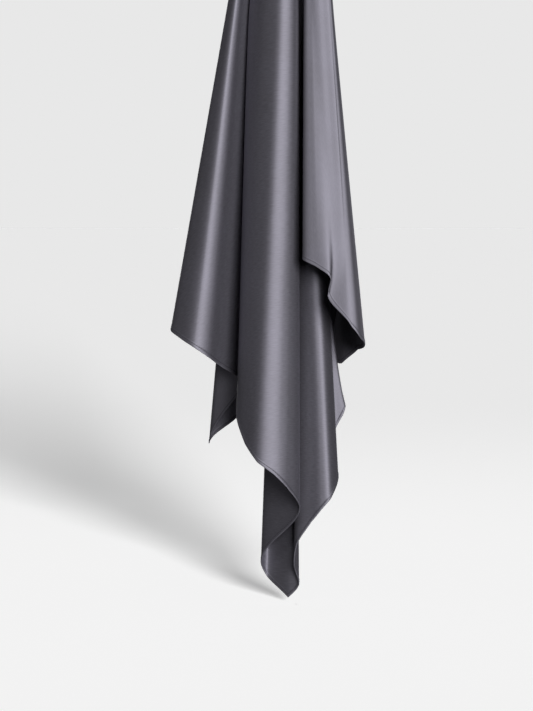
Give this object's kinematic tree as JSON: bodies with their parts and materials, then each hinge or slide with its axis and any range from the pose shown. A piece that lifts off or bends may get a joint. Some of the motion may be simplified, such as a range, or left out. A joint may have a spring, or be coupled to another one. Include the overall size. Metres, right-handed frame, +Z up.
{
  "type": "square satin hijab scarf, hanging from a pinch",
  "caption": "Square satin headscarf hanging from a pinch near its middle, in deep soft folds with the corners at different heights.",
  "frame": {"origin": "the pinch near the square's middle that holds the scarf up", "axes": "+Z up, -Y towards the front with the long corner, +X to the right seen from the front"},
  "size_m": [0.1944, 0.1504, 1.0042],
  "materials": {
    "satin": "slate grey satin, soft sheen"
  },
  "bodies": {
    "root": {"gathered_top": "satin", "left_panel": "satin", "front_panel": "satin", "front_corner": "satin", "side_ridge": "satin", "right_flap": "satin", "back_panel": "satin", "left_tail": "satin"}
  },
  "joints": []
}
